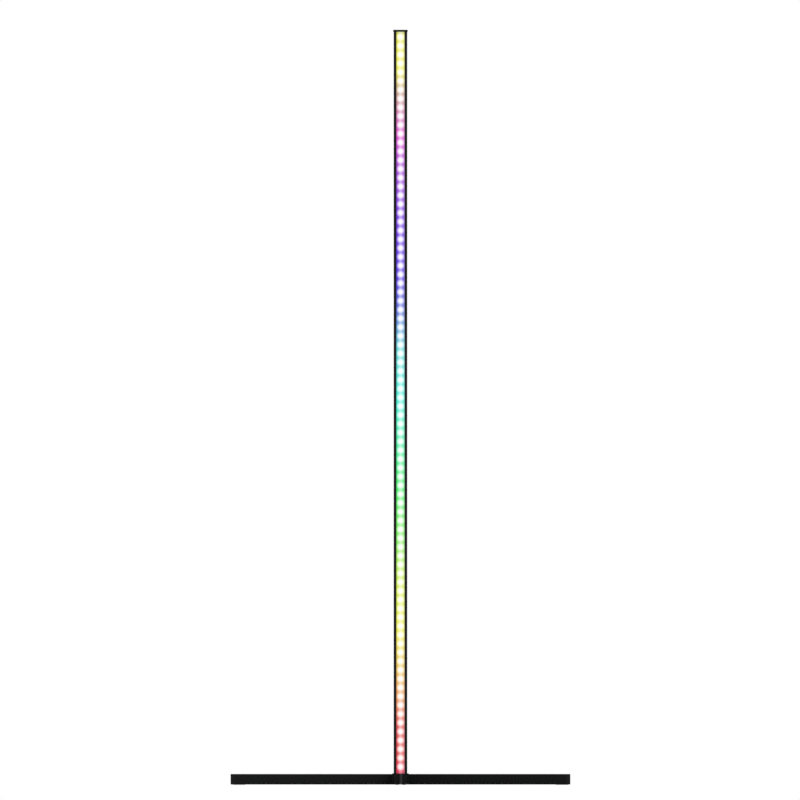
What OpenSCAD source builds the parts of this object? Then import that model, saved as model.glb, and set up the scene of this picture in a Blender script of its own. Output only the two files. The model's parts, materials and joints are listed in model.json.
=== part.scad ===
// Corner floor lamp: a right-angled extruded pole with a line of lights in its channel,
// standing in a cast corner hub with two box-section legs that spread at a right angle.
// The origin is on the floor under the pole's axis. +Z is up, and -Y is the lit side,
// which is also the side that the legs run to.

/* [Light line] */
// Number of light packages along the tape
led_count = 84; // [60:1:90]
// Packages in one metre of tape
leds_per_metre = 60; // [30, 60]
// Width of the tape
tape_w = 10; // [8:1:10]

/* [Pole] */
// Depth of the triangular section from its lit face to its sharp ridge
section_d = 13.4; // [13.4:0.1:14]
// Wall of the two flanges
wall = 1.3; // [1:0.1:1.4]
// Width of the window between the two front lips
window_w = 15.8; // [15:0.1:16]

/* [Base] */
// Length of each leg from the outer corner of the base to its tip
leg_reach = 456; // [250:1:600]
// Height of the leg tube
leg_h = 20; // [20:1:24]
// Thickness of the leg tube
leg_t = 10; // [10:0.5:12]
// Wall of the leg tube
tube_wall = 1.2; // [1:0.1:1.5]
// Thickness of the stick-on foot pads
pad_t = 0.5; // [0.5:0.1:2]

/* [Caps] */
// Thickness of the cap on top of the pole
cap_t = 3.8; // [3:0.1:6]
// How far the top cap overhangs the pole all round
cap_overhang = 0.95; // [0.7:0.05:1.5]
// Height of the hub's collar above the legs
collar_h = 1.2; // [0.8:0.1:4]

/* [Power] */
// Diameter of the inlet's centre pin
pin_d = 2; // [1.6:0.1:2.5]
// Diameter of the inlet's bore
inlet_d = 6.3; // [5.7:0.1:6.5]

/* [Hidden] */

$fn = 48;
eps = 0.01;
root2 = sqrt(2);
gap = 0.12;             // clearance of a piece that slides into another
screw_gap = 0.03;       // clearance round a screw in its own thread
arc_steps = 5;          // straight runs in each rounded corner

// Heights, from the floor up
plate_t = 1.5;
base_z = pad_t;
pole_z = base_z + plate_t;
leg_top = base_z + leg_h;
mid_z = base_z + leg_h / 2;
collar_top = leg_top + collar_h;
window_z = collar_top - 0.6;
tape_z = window_z + 4.9;
led_pitch = 1000 / leds_per_metre;
tape_len = led_count * led_pitch;
pole_top = tape_z + tape_len + 1.7;
section_count = 3;
section_len = (pole_top - pole_z) / section_count;

// Plan of the pole's section: a right angle whose ridge points to +Y
front_y = -6.4;
ridge_y = front_y + section_d;
tip_r = 0.4;
ridge_r = 1;
lip_t = 1.2;
lip_y = front_y + lip_t;
web_y = -1.7;
web_t = 1.2;
duct_ridge_y = ridge_y - wall * root2;

// Light tape and packages
tape_t = 0.3;
tape_y = web_y - tape_t;
led_w = 5;
led_t = 1.6;
led_front_y = tape_y - led_t;
lens_r = 2.05;
lens_t = 0.25;
capacitor = [1.6, 0.8, 0.9];
capacitor_rise = 1.4;   // from the package's edge to the capacitor beside it

// Snap-in covers: the diffuser, and the cover of the channel's foot
cover_half = window_w / 2 - 0.1;
cover_y = front_y + 0.2;
cover_t = 1.05;
cover_back_y = cover_y + cover_t;
cover_rise = 0.35;
clip_t = 0.9;
clip_y = cover_back_y + 1.3;
barb = 0.65;
rib_r = 6;
rib_rise = 1.7;         // how far the foot cover's rounded rib stands out from the lips

// Plan of the hub and legs, in a leg's own frame: u runs out along it, n across it
socket_n = ridge_y / root2 + gap;
collar_t = 1.88;
leg_n = socket_n + collar_t;
leg_out_n = leg_n + leg_t;
leg_u = leg_n - front_y * root2;
tip_u = leg_reach - leg_out_n;
tube_r = 1.2;
plug_t = 2;
plug_insert = 15;
spigot_len = 34;
boss_half = 6.5;
boss_y = leg_out_n * root2 - 2.5;
hub_chamfer = 0.7;

// Screws: [shank diameter, head diameter, head height]
m4_button = [4, 7.6, 2.2];
m3_flat = [3, 6, 1.5];
leg_screw_u = [leg_u + 10, leg_u + 26];
leg_screw_len = 8;
pole_screw_z = mid_z + 2;
pole_screw_len = 15;
plate_screw = [10, 11.4];
plate_screw_len = 8;
grub_d = 3;
grub_len = 4;
joiner_half = 40;
joiner_screw_at = [-30, -14, 14, 30];

// Inlet, on the hub's rear boss
inlet_nose_d = 8;
inlet_nose_t = 1.6;
inlet_w = 9;
inlet_h = 10.4;
inlet_len = 10.6;
inlet_depth = 9.5;
inlet_slack = 0.2;
pin_root_d = pin_d - 0.5;   // the thinner end of the pin, held in the housing
nose_y = boss_y - inlet_nose_t;
inlet_y = nose_y - inlet_len;
inlet_low_z = mid_z - inlet_h / 2;
terminal = [1.6, 0.4, 2.9];

// Wires, and the slot that they take under the pole from the inlet to the channel
wire_d = 1.1;
lead_d = 0.8;
wire_x = 1.4;
lead_x = 2.4;
wire_z = pole_z + 1.9;
wire_slot = [4.4, 4];

// Control board, upright in the channel behind the foot cover
board_w = 9.6;
board_h = 11.5;
board_t = 0.8;
board_y = web_y - 0.4 - board_t;
board_z = pole_z + 5;
board_top = board_z + board_h;

// ---- Plane geometry ----

function unit(v) = v / norm(v);

// Points of an arc of radius r that rounds the corner p between its neighbours a and b
function round_corner(a, p, b, r) =
    let (
        u = unit(a - p),
        v = unit(b - p),
        half = acos(u * v) / 2,
        c = p + unit(u + v) * r / sin(half),
        s = p + u * r / tan(half) - c,
        e = p + v * r / tan(half) - c,
        start = atan2(s.y, s.x),
        turn = atan2(s.x * e.y - s.y * e.x, s * e)
    )
    [for (i = [0:arc_steps])
        c + r * [cos(start + turn * i / arc_steps), sin(start + turn * i / arc_steps)]];

// Every outline here runs counter-clockwise
function rounded(points, radii) =
    let (last = len(points) - 1)
    [for (i = [0:last]) each round_corner(
        points[i == 0 ? last : i - 1], points[i], points[i == last ? 0 : i + 1], radii[i])];

// A list of right-hand points followed by their mirror images, which closes an outline
function both_halves(right) =
    concat(right, [for (i = [len(right) - 1:-1:0]) [-right[i].x, right[i].y]]);

// Right angle whose ridge is at [0, ridge] and whose open side is at y = front
function right_angle(front, ridge) = [[front - ridge, front], [ridge - front, front], [0, ridge]];

// Plan position of a point given in the right leg's frame
function from_leg(u, n) = [(u + n) / root2, (n - u) / root2];

// Outline of the pole, with its faces moved out by grow
function pole_outline(grow = 0) = rounded(
    right_angle(front_y - grow, ridge_y + grow * root2),
    [tip_r + grow, tip_r + grow, ridge_r + grow]);

// Triangle between the web and the flanges, with its faces moved in by inset
function duct_outline(inset = 0) = right_angle(web_y + web_t + inset, duct_ridge_y - inset * root2);

module prism(points, z0, z1) {
    translate([0, 0, z0]) linear_extrude(height = z1 - z0) polygon(points);
}

// Solid between two outlines that have the same number of points
module frustum(low, high, z0, z1) {
    n = len(low);
    polyhedron(
        points = concat([for (p = low) [p.x, p.y, z0]], [for (p = high) [p.x, p.y, z1]]),
        faces = concat(
            [[for (i = [0:n - 1]) i], [for (i = [2 * n - 1:-1:n]) i]],
            [for (i = [0:n - 1]) each let (j = (i + 1) % n) [[i, n + i, n + j], [i, n + j, j]]]
        ));
}

// side is 1 for the right leg and -1 for the left
module on_leg(side) {
    if (side > 0) rotate([0, 0, -45]) children();
    else mirror([1, 0, 0]) rotate([0, 0, -45]) children();
}

// Turns a piece that stands on z = 0 so that it lies across the leg, and seats it at [u, n, z]
module across_leg(seat) {
    translate(seat) rotate([-90, 0, 0]) children();
}

module along_y(start, d, length) {
    translate(start) rotate([-90, 0, 0]) cylinder(d = d, h = length);
}

// A flat bar with round ends
module pill(length, width, height) {
    straight = length - width;
    translate([-straight / 2, -width / 2, 0]) cube([straight, width, height]);
    for (x = [-straight / 2, straight / 2]) translate([x, 0, 0]) cylinder(d = width, h = height);
}

// Screws stand on their head's seat: the shank runs to -Z and the head to +Z
module hex_recess(across_flats, depth, top) {
    translate([0, 0, top - depth]) cylinder(d = across_flats / cos(30), h = depth + eps, $fn = 6);
}

module shank(d, length) {
    translate([0, 0, -length]) cylinder(d = d - 2 * screw_gap, h = length);
}

module button_screw(size, length) {
    head_r = size[1] / 2;
    dome = (head_r * head_r + size[2] * size[2]) / (2 * size[2]);
    difference() {
        union() {
            shank(size[0], length);
            intersection() {
                translate([0, 0, size[2] - dome]) sphere(r = dome);
                cylinder(r = head_r, h = size[2] + eps);
            }
        }
        hex_recess(size[0] * 0.62, size[2] * 0.6, size[2]);
    }
}

module flat_screw(size, length) {
    difference() {
        union() {
            shank(size[0], length);
            translate([0, 0, -size[2]]) cylinder(d1 = size[0] - 2 * screw_gap, d2 = size[1], h = size[2]);
        }
        hex_recess(size[0] * 0.62, size[2] * 0.6, 0);
    }
}

// Clearance bore and countersink of a flat screw, open at z = 0
module flat_screw_hole(size, length) {
    grow = 0.3;
    translate([0, 0, -length]) cylinder(d = size[0] + 0.4, h = length);
    translate([0, 0, -size[2] - 0.1]) cylinder(d1 = size[0] + grow, d2 = size[1] + grow, h = size[2] + 0.1);
    translate([0, 0, -eps]) cylinder(d = size[1] + grow, h = 1);
}

// ---- Pole ----

module channel_cut(z0, z1) {
    prism(both_halves([
        [window_w / 2, front_y - 1],
        [window_w / 2, lip_y],
        [duct_ridge_y - lip_y, lip_y],
        [duct_ridge_y - web_y, web_y]
    ]), z0, z1);
}

// Tapped holes in the foot of the pole, one square to each flange
module pole_screw_holes() {
    for (side = [-1, 1]) on_leg(side)
        across_leg([0, 1, pole_screw_z]) cylinder(d = m3_flat[0], h = ridge_y);
}

module pole_section(index) {
    z0 = pole_z + index * section_len;
    z1 = z0 + section_len;
    joints = [if (index > 0) z0, if (index < section_count - 1) z1];
    color([0.06, 0.06, 0.065]) difference() {
        prism(pole_outline(), z0, z1);
        channel_cut(z0 - 1, z1 + 1);
        prism(duct_outline(), z0 - 1, z1 + 1);
        for (joint = joints, at = joiner_screw_at)
            along_y([0, web_y - 1, joint + at], grub_d + 0.2, web_t + 2);
        if (index == 0) {
            pole_screw_holes();
            translate([-wire_slot.x / 2, web_y - 1, z0 - 1])
                cube([wire_slot.x, section_d, wire_slot.y + 1]);
        }
    }
}

// Bar that slides in the duct across the joint below section number index
module pole_joiner(index) {
    joint = pole_z + index * section_len;
    color([0.62, 0.63, 0.65]) difference() {
        prism(duct_outline(gap), joint - joiner_half, joint + joiner_half);
        for (at = joiner_screw_at)
            along_y([0, web_y, joint + at], grub_d, grub_len + 0.6);
    }
}

module joiner_screws() {
    color([0.2, 0.2, 0.21])
        for (index = [1:section_count - 1], at = joiner_screw_at)
            translate([0, web_y + 0.1, pole_z + index * section_len + at]) rotate([90, 0, 0])
                difference() {
                    shank(grub_d, grub_len);
                    hex_recess(1.5, 1.2, 0);
                }
}

module pole_anchor() {
    color([0.55, 0.56, 0.58]) difference() {
        prism(duct_outline(gap), pole_z + wire_slot.y + 0.6, leg_top - 2);
        pole_screw_holes();
    }
}

module pole_screws() {
    color([0.13, 0.13, 0.14]) for (side = [-1, 1]) on_leg(side)
        across_leg([0, leg_out_n - 0.15, pole_screw_z]) flat_screw(m3_flat, pole_screw_len);
}

// ---- Light line ----

function led_z(i) = tape_z + (i + 0.5) * led_pitch;

module light_tape() {
    color([0.93, 0.93, 0.91])
        translate([-tape_w / 2, tape_y, tape_z]) cube([tape_w, tape_t, tape_len]);
}

module light_packages() {
    color([0.95, 0.95, 0.93]) for (i = [0:led_count - 1]) difference() {
        translate([-led_w / 2, led_front_y, led_z(i) - led_w / 2]) cube([led_w, led_t, led_w]);
        along_y([0, led_front_y - 1, led_z(i)], 2 * lens_r + 0.1, 1 + lens_t);
    }
}

module package_lenses() {
    recess = 0.05;
    color([0.98, 0.95, 0.75]) for (i = [0:led_count - 1])
        along_y([0, led_front_y + recess, led_z(i)], 2 * lens_r, lens_t - recess);
}

module tape_capacitors() {
    color([0.62, 0.52, 0.4]) for (i = [0:led_count - 1])
        translate([-capacitor.x / 2, tape_y - capacitor.y, led_z(i) + led_w / 2 + capacitor_rise])
            cube(capacitor);
}

// Section of a snap-in cover: a slightly crowned face with a barbed clip behind each edge
function cover_outline() =
    let (
        crown_r = (cover_half * cover_half + cover_rise * cover_rise) / (2 * cover_rise),
        steps = 12,
        barb_y = lip_y + 0.05,
        lead_in = 0.3,
        right_clip = [
            [cover_half, barb_y],
            [cover_half + barb, barb_y],
            [cover_half, clip_y - lead_in],
            [cover_half - lead_in, clip_y],
            [cover_half - clip_t, clip_y],
            [cover_half - clip_t, cover_back_y]
        ]
    )
    concat(
        [for (i = [0:steps]) let (x = cover_half * (2 * i / steps - 1))
            [x, cover_y - cover_rise + crown_r - sqrt(crown_r * crown_r - x * x)]],
        both_halves(right_clip));

module diffuser() {
    color([0.95, 0.96, 0.97]) prism(cover_outline(), window_z, pole_top);
}

module channel_foot_cover() {
    z0 = pole_z + 0.1;
    z1 = window_z - 0.1;
    color([0.09, 0.09, 0.095]) {
        prism(cover_outline(), z0, z1);
        difference() {
            translate([0, front_y - rib_rise + rib_r, z0]) cylinder(r = rib_r, h = z1 - z0);
            translate([-rib_r - 1, lip_y, z0 - 1]) cube([2 * rib_r + 2, 2 * rib_r, z1 - z0 + 2]);
        }
    }
}

module top_cap() {
    chamfer = 0.6;
    plug_len = 10;
    tongue = [2 * (cover_half - clip_t - 0.3), 1.1, 3.4];
    edge_z = pole_top + cap_t - chamfer;
    color([0.08, 0.08, 0.085]) {
        prism(pole_outline(cap_overhang), pole_top, edge_z);
        frustum(pole_outline(cap_overhang), pole_outline(cap_overhang - chamfer), edge_z, pole_top + cap_t);
        prism(duct_outline(gap), pole_top - plug_len, pole_top);
        translate([-tongue.x / 2, cover_back_y + 0.1, pole_top - tongue.z]) cube(tongue);
    }
}

// ---- Hub ----

// Plan of the hub's block, whose shoulders the legs butt against; its back ends in the boss
function block_outline(inset = 0) =
    let (
        front = from_leg(leg_u - inset, leg_n),
        shoulder = from_leg(leg_u - inset, leg_out_n - inset),
        back_x = boss_half - 1.5,
        back = [back_x, (leg_out_n - inset) * root2 - back_x]
    )
    rounded(both_halves([[front.x, front_y + inset], shoulder, back]), [0.4, 0.8, 0.4, 0.4, 0.8, 0.4]);

// Plan of the boss that holds the inlet at the hub's rear corner
function boss_outline(inset = 0) =
    let (x = boss_half - inset, y = boss_y - inset, front = inlet_y, r = 1.6 - inset)
    rounded([[-x, front], [x, front], [x, y], [-x, y]], [0.4, 0.4, r, r]);

function collar_outline(inset = 0) = rounded(
    right_angle(front_y + inset, (leg_n - inset) * root2), [0.25, 0.25, 2.6 - inset]);

// A straight wall with a chamfered upper edge; outlines are for the wall and the top face
module chamfered(wall_outline, top_outline, z0, z1, chamfer) {
    prism(wall_outline, z0, z1 - chamfer);
    frustum(wall_outline, top_outline, z1 - chamfer, z1);
}

module leg_spigot() {
    slack = 0.2;
    lead_in = 1.2;
    root = 3;
    n0 = leg_n + tube_wall + slack;
    width = leg_t - 2 * (tube_wall + slack);
    height = leg_top - tube_wall - slack - pole_z;
    translate([leg_u - root, n0, pole_z]) cube([spigot_len + root - lead_in, width, height]);
    translate([leg_u + spigot_len - lead_in - eps, n0 + 0.5, pole_z + 0.5])
        cube([lead_in + eps, width - 1, height - 1]);
}

// Pocket for the inlet, open below, and the slot that its wires leave by
module inlet_pocket() {
    nose = inlet_nose_d + 2 * 0.1;
    width = inlet_w + 2 * inlet_slack;
    back_y = inlet_y - inlet_slack;
    translate([-width / 2, back_y, 0]) cube([width, nose_y - back_y, mid_z + inlet_h / 2 + inlet_slack]);
    translate([-nose / 2, nose_y - eps, 0]) cube([nose, inlet_nose_t + 1, mid_z]);
    along_y([0, nose_y - eps, mid_z], nose, inlet_nose_t + 1);
    translate([-wire_slot.x / 2, 0, 0]) cube([wire_slot.x, back_y + 1, pole_z + wire_slot.y]);
}

module hub_body() {
    reach = 30;
    apex = socket_n * root2;
    color([0.075, 0.075, 0.08]) difference() {
        union() {
            chamfered(block_outline(), block_outline(hub_chamfer), pole_z, leg_top, hub_chamfer);
            chamfered(boss_outline(), boss_outline(hub_chamfer), pole_z, leg_top, hub_chamfer);
            chamfered(collar_outline(), collar_outline(0.4), pole_z, collar_top, 0.4);
            for (side = [-1, 1]) on_leg(side) leg_spigot();
        }
        prism(right_angle(-reach, apex), 0, collar_top + 1);
        inlet_pocket();
        for (side = [-1, 1]) on_leg(side) {
            for (u = leg_screw_u)
                across_leg([u, leg_out_n - leg_screw_len - 0.2, mid_z])
                    cylinder(d = m4_button[0], h = leg_screw_len);
            translate([plate_screw.x, plate_screw.y, 0])
                cylinder(d = m3_flat[0], h = base_z + plate_screw_len + 1);
            across_leg([0, leg_out_n, pole_screw_z]) flat_screw_hole(m3_flat, pole_screw_len);
        }
    }
}

module hub_bottom_plate() {
    groove_half = 4;
    groove_rise = 0.55;
    groove_r = (groove_half * groove_half + groove_rise * groove_rise) / (2 * groove_rise);
    slot_gap = 0.1;
    color([0.1, 0.1, 0.105]) difference() {
        union() {
            prism(block_outline(0.15), base_z, pole_z);
            prism(boss_outline(0.15), base_z, pole_z);
            translate([-inlet_nose_d / 2, nose_y + slot_gap, base_z])
                cube([inlet_nose_d, inlet_nose_t - 0.15 - slot_gap, mid_z - base_z]);
        }
        along_y([0, nose_y - 1, mid_z], inlet_nose_d + 2 * slot_gap, inlet_nose_t + 2);
        for (side = [-1, 1]) on_leg(side)
            translate([plate_screw.x, plate_screw.y, base_z]) mirror([0, 0, 1])
                flat_screw_hole(m3_flat, plate_screw_len);
        along_y([0, front_y - 2, base_z + groove_rise - groove_r], 2 * groove_r, boss_y - front_y + 4);
    }
}

module hub_plate_screws() {
    color([0.13, 0.13, 0.14]) for (side = [-1, 1]) on_leg(side)
        translate([plate_screw.x, plate_screw.y, base_z]) mirror([0, 0, 1])
            flat_screw(m3_flat, plate_screw_len);
}

// ---- Legs and feet ----

// Rounded rectangle across the leg, in its n and z
function tube_outline(inset) =
    let (
        low = [leg_n + inset, base_z + inset],
        high = [leg_out_n - inset, leg_top - inset],
        r = max(tube_r - inset, 0.3)
    )
    rounded([low, [high.x, low.y], high, [low.x, high.y]], [r, r, r, r]);

// Turns a shape drawn in n and z so that its height runs out along the leg
module out_along_leg() {
    rotate([90, 0, 90]) children();
}

module leg_tube(side) {
    color([0.085, 0.085, 0.09]) on_leg(side) difference() {
        out_along_leg() prism(tube_outline(0), leg_u, tip_u - plug_t);
        out_along_leg() prism(tube_outline(tube_wall), leg_u - 1, tip_u);
        for (u = leg_screw_u)
            across_leg([u, leg_out_n - 3, mid_z]) cylinder(d = m4_button[0] + 0.4, h = 4);
    }
}

module leg_plug(side) {
    plug_wall = 1.6;
    edge = 0.5;
    face_u = tip_u - plug_t + 2 * eps;
    color([0.07, 0.07, 0.075]) on_leg(side) out_along_leg() difference() {
        union() {
            chamfered(tube_outline(0), tube_outline(edge), face_u, tip_u, edge);
            prism(tube_outline(tube_wall + gap), face_u - plug_insert, face_u);
        }
        prism(tube_outline(tube_wall + gap + plug_wall), face_u - plug_insert - 1, face_u - 1);
    }
}

module leg_screws() {
    color([0.13, 0.13, 0.14]) for (side = [-1, 1], u = leg_screw_u)
        on_leg(side) across_leg([u, leg_out_n, mid_z]) button_screw(m4_button, leg_screw_len);
}

module foot_pad_hub() {
    color([0.05, 0.05, 0.05]) pill(20, 8, pad_t);
}

module foot_pad(side) {
    pad_len = 30;
    color([0.05, 0.05, 0.05]) on_leg(side)
        translate([tip_u - plug_t - pad_len / 2 - 1, leg_n + leg_t / 2, 0]) pill(pad_len, leg_t - 3, pad_t);
}

// ---- Power and control ----

module inlet_housing() {
    color([0.04, 0.04, 0.04]) difference() {
        union() {
            translate([-inlet_w / 2, inlet_y, inlet_low_z]) cube([inlet_w, inlet_len, inlet_h]);
            along_y([0, nose_y - eps, mid_z], inlet_nose_d, inlet_nose_t + eps);
        }
        along_y([0, boss_y - inlet_depth, mid_z], inlet_d, inlet_depth + 1);
        along_y([0, inlet_y - 1, mid_z], pin_root_d, inlet_len);
    }
}

module inlet_pin() {
    pin_r = pin_d / 2;
    root_r = pin_root_d / 2 - screw_gap;
    root_len = inlet_len + inlet_nose_t - inlet_depth;
    tip = inlet_len + inlet_nose_t - 0.6;
    bevel = 0.4;
    color([0.8, 0.8, 0.78]) translate([0, inlet_y, mid_z]) rotate([-90, 0, 0]) rotate_extrude()
        polygon([
            [0, 0.1], [root_r, 0.1], [root_r, root_len + 0.05], [pin_r, root_len + 0.05],
            [pin_r, tip - bevel], [pin_r - bevel, tip], [0, tip]
        ]);
}

// Two solder tabs under the back of the inlet, where the supply wires end
module inlet_terminals() {
    color([0.8, 0.8, 0.78]) for (x = [-wire_x, wire_x])
        translate([x - terminal.x / 2, inlet_y + 0.2, inlet_low_z - terminal.z]) cube(terminal);
}

module control_board() {
    color([0.1, 0.32, 0.2])
        translate([-board_w / 2, board_y, board_z]) cube([board_w, board_t, board_h]);
}

// Driver chip, regulator and two capacitors on the board's outer face, as [x, z] and [w, d, h]
module board_parts() {
    parts = [
        [[-4.2, 3.2], [4.2, 1.0, 4.2]],
        [[0.8, 3.2], [3.4, 1.1, 2.4]],
        [[0.8, 6.2], [1.6, 0.8, 0.8]],
        [[2.8, 6.2], [1.6, 0.8, 0.8]]
    ];
    color([0.08, 0.08, 0.09]) for (part = parts)
        translate([part[0].x, board_y - part[1].y, board_z + part[0].y]) cube(part[1]);
}

// Point of a Bezier curve through any number of control points
function bezier(points, t) =
    len(points) == 1 ? points[0]
    : bezier([for (i = [0:len(points) - 2]) points[i] * (1 - t) + points[i + 1] * t], t);

// Round wire swept along a curve that never runs along X
module wire(control, d) {
    steps = 14;
    sides = 8;
    path = [for (i = [0:steps]) bezier(control, i / steps)];
    tangent = [for (i = [0:steps])
        i == 0 ? unit(control[1] - control[0])
        : i == steps ? unit(control[len(control) - 1] - control[len(control) - 2])
        : unit(path[i + 1] - path[i - 1])];
    rings = [for (i = [0:steps], k = [0:sides - 1])
        let (b = unit(cross(tangent[i], [1, 0, 0])), a = cross(b, tangent[i]), angle = 360 * k / sides)
        path[i] + d / 2 * (cos(angle) * a + sin(angle) * b)];
    faces = concat(
        [[for (k = [0:sides - 1]) k], [for (k = [sides - 1:-1:0]) steps * sides + k]],
        [for (i = [0:steps - 1], k = [0:sides - 1])
            each let (j = (k + 1) % sides, low = i * sides, high = low + sides)
            [[low + k, high + j, low + j], [low + k, high + k, high + j]]]);
    polyhedron(points = rings, faces = faces);
}

// From a solder tab of the inlet, through the slot under the pole, up to the board
module supply_wire(side) {
    x = side * wire_x;
    board_face = board_y - wire_d / 2 - 0.02;
    wire([
        [x, inlet_y + 0.15, wire_z],
        [x, 7, wire_z],
        [x, 1, wire_z],
        [x, web_y, wire_z],
        [x * 1.1, board_face - 0.9, wire_z + 0.6],
        [x * 1.5, board_face - 0.1, board_z - 0.9],
        [x * 1.9, board_face, board_z + 2.3]
    ], wire_d);
}

// Three thin leads from the board's upper edge to the pads at the foot of the tape
module tape_leads() {
    board_face = board_y - lead_d / 2 - 0.02;
    tape_face = tape_y - lead_d / 2 - 0.02;
    color([0.85, 0.85, 0.82]) for (x = [-lead_x, 0, lead_x])
        wire([
            [x, board_face, board_top - 2.2],
            [x, board_face, board_top + 1],
            [x, board_face - 0.5, board_top + 4],
            [x, tape_face - 0.9, tape_z - 2],
            [x, tape_face, tape_z],
            [x, tape_face, tape_z + 2.4]
        ], lead_d);
}

pole_section(0);  // pole_section_lower
pole_section(1);  // pole_section_middle
pole_section(2);  // pole_section_upper
pole_joiner(1);  // pole_joiner_lower
pole_joiner(2);  // pole_joiner_upper
joiner_screws();
pole_anchor();
pole_screws();
light_tape();
light_packages();
package_lenses();
tape_capacitors();
diffuser();
channel_foot_cover();
top_cap();
hub_body();
hub_bottom_plate();
hub_plate_screws();
leg_tube(-1);  // leg_tube_left
leg_tube(1);  // leg_tube_right
leg_plug(-1);  // leg_plug_left
leg_plug(1);  // leg_plug_right
leg_screws();
foot_pad_hub();
foot_pad(-1);  // foot_pad_left
foot_pad(1);  // foot_pad_right
inlet_housing();
inlet_pin();
inlet_terminals();
control_board();
board_parts();
color([0.7, 0.05, 0.05]) supply_wire(1);  // supply_wire_positive
color([0.05, 0.05, 0.05]) supply_wire(-1);  // supply_wire_negative
tape_leads();
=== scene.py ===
import json
from math import cos, log, pi, radians, sin, sqrt

import bmesh
import bpy
from bpy.props import (
    FloatProperty,
    FloatVectorProperty,
    IntProperty,
    PointerProperty,
)
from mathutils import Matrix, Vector


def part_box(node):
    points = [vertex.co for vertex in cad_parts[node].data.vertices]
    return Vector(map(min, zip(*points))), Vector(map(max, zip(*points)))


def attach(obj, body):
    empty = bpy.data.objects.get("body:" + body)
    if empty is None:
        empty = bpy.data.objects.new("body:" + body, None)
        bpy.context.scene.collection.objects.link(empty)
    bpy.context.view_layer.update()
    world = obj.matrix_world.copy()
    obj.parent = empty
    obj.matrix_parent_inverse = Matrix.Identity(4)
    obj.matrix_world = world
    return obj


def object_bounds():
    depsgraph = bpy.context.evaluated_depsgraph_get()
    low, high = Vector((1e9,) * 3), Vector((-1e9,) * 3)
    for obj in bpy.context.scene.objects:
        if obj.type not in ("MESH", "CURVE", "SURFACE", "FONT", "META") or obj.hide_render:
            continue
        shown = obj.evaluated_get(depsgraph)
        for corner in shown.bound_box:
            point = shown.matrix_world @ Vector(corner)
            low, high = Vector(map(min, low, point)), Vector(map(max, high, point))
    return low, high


bl_info = {
    "name": "Corner Floor Lamp",
    "version": (1, 0, 0),
    "blender": (4, 5, 0),
    "location": "3D View > Sidebar > Corner Lamp",
    "description": "Finishes, small parts and studio for a corner floor lamp with a coloured light line",
    "category": "3D View",
}

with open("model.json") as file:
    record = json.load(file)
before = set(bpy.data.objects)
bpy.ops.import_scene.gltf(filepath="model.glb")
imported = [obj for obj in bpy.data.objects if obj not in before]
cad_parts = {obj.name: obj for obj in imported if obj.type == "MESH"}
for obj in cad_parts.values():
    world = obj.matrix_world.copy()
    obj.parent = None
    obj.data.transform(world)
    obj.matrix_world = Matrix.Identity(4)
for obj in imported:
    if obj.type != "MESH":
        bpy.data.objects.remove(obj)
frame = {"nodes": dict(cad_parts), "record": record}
CAD_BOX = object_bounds()
NODES = frame["nodes"]
SLOT_OF = {row["node"]: row["material_slot"] for row in frame["record"]["subparts"]}

# All lengths and places are in metres

# Stage
FLOOR_Z = -0.0003   # just under the foot pads
FLOOR_CLOUD = 0.25  # size of the faint clouds in the floor's paint
CAMERA_REACH = 30

# Softboxes: name, the setting that holds the power, place, width, height
SOFTBOXES = (
    ("key_light", "key_power", (2.3, -3.2, 0.75), 1.3, 1.3),
    ("fill_light", "fill_power", (-2.6, -2.4, 2.2), 2.0, 2.0),
    ("side_light", "side_power", (2.9, 0.8, 1.5), 0.9, 1.6),
    ("back_light", "back_power", (-1.4, 2.8, 2.4), 1.8, 1.8),
)

# Faces less than FLAT_ANGLE apart are one flat face, edges over SHARP_ANGLE are rounded, and what
# is still steeper than CRISP_ANGLE after that is shaded as an edge
FLAT_ANGLE = radians(0.5)
SHARP_ANGLE = radians(32)
CRISP_ANGLE = radians(40)

# How far sharp edges are rounded
EDGE_STEPS = 3
EXTRUDED_EDGE = 0.00012  # pole sections, foot cover
BROAD_EDGE = 0.0002      # hub, legs, top cap
MOULDED_EDGE = 0.00015   # hub's bottom plate, leg plugs, inlet
PAD_EDGE = 0.0001
SCREW_EDGE = 0.00008

# Points this close become one before the rounding
WELD_GAP = 0.00002
HUB_WELD_GAP = 0.00022   # more, for the short edges of the hub

# The tape that carries the lights, and the window in the pole that they shine through
TAPE_LOW, TAPE_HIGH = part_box("light_tape")
WINDOW_HALF = 0.0079     # from the pole's axis to each lip beside the cover
WINDOW_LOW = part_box("diffuser")[0].z
WINDOW_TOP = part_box("pole_section_upper")[1].z

# How the cover shows the light
LIGHT_SWING = 0.25       # rise over each light, and fall half way to the next
WASH_POWER = 1.95        # how steeply the colour washes out to white
LIFT_FULL = 0.55         # share of full light from which the colour is brightest
COLOUR_LIFT = 1.17       # how many times brighter it is there
DISPLAY_GAMMA = 2.2      # from the numbers of a screen colour to a linear one
COVER_DULLING = 0.9      # share of its own colour that the lit cover loses to its glow
# Colour of the painted reflected light that the channel's walls throw back on the cover
HAZE_COLOUR = (0.88, 0.88, 0.87)
LENS_GLOW = 0.6

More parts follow.
